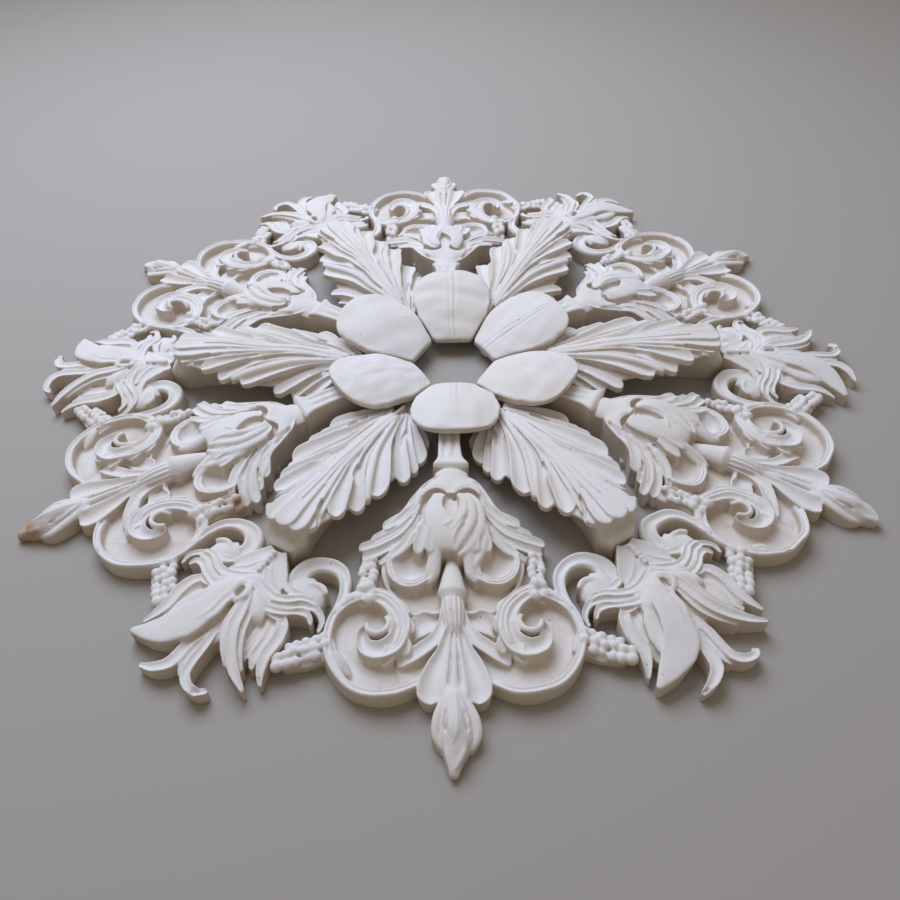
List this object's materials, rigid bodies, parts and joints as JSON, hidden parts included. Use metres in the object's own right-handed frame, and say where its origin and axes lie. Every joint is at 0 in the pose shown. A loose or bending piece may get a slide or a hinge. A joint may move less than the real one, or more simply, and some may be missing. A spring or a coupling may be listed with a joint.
{
  "type": "ceiling rose",
  "caption": "Large openwork plaster ceiling rose: domed petals round an open centre, acanthus leaves, scrolled panels with grapes and bud finials, and flame-like foliage sprays.",
  "frame": {"origin": "centre of the rose, on the plane of its flat back", "axes": "+Z out of the carved face (down from a ceiling, up when it lies on its back), +Y towards the bud of the fourth scroll panel, +X towards the spray between the second and third panels"},
  "size_m": [1.4494, 1.5, 0.088],
  "materials": {
    "plaster": "matte white cast gypsum plaster, bare, with warm dust in the recesses"
  },
  "bodies": {
    "root": {"petal_1": "plaster", "petal_2": "plaster", "petal_3": "plaster", "petal_4": "plaster", "petal_5": "plaster", "petal_6": "plaster", "acanthus_leaf_1": "plaster", "acanthus_leaf_2": "plaster", "acanthus_leaf_3": "plaster", "acanthus_leaf_4": "plaster", "acanthus_leaf_5": "plaster", "acanthus_leaf_6": "plaster", "scroll_panel_1": "plaster", "scroll_panel_2": "plaster", "scroll_panel_3": "plaster", "scroll_panel_4": "plaster", "scroll_panel_5": "plaster", "scroll_panel_6": "plaster", "foliage_spray_1": "plaster", "foliage_spray_2": "plaster", "foliage_spray_3": "plaster", "foliage_spray_4": "plaster", "foliage_spray_5": "plaster", "foliage_spray_6": "plaster"}
  },
  "joints": []
}
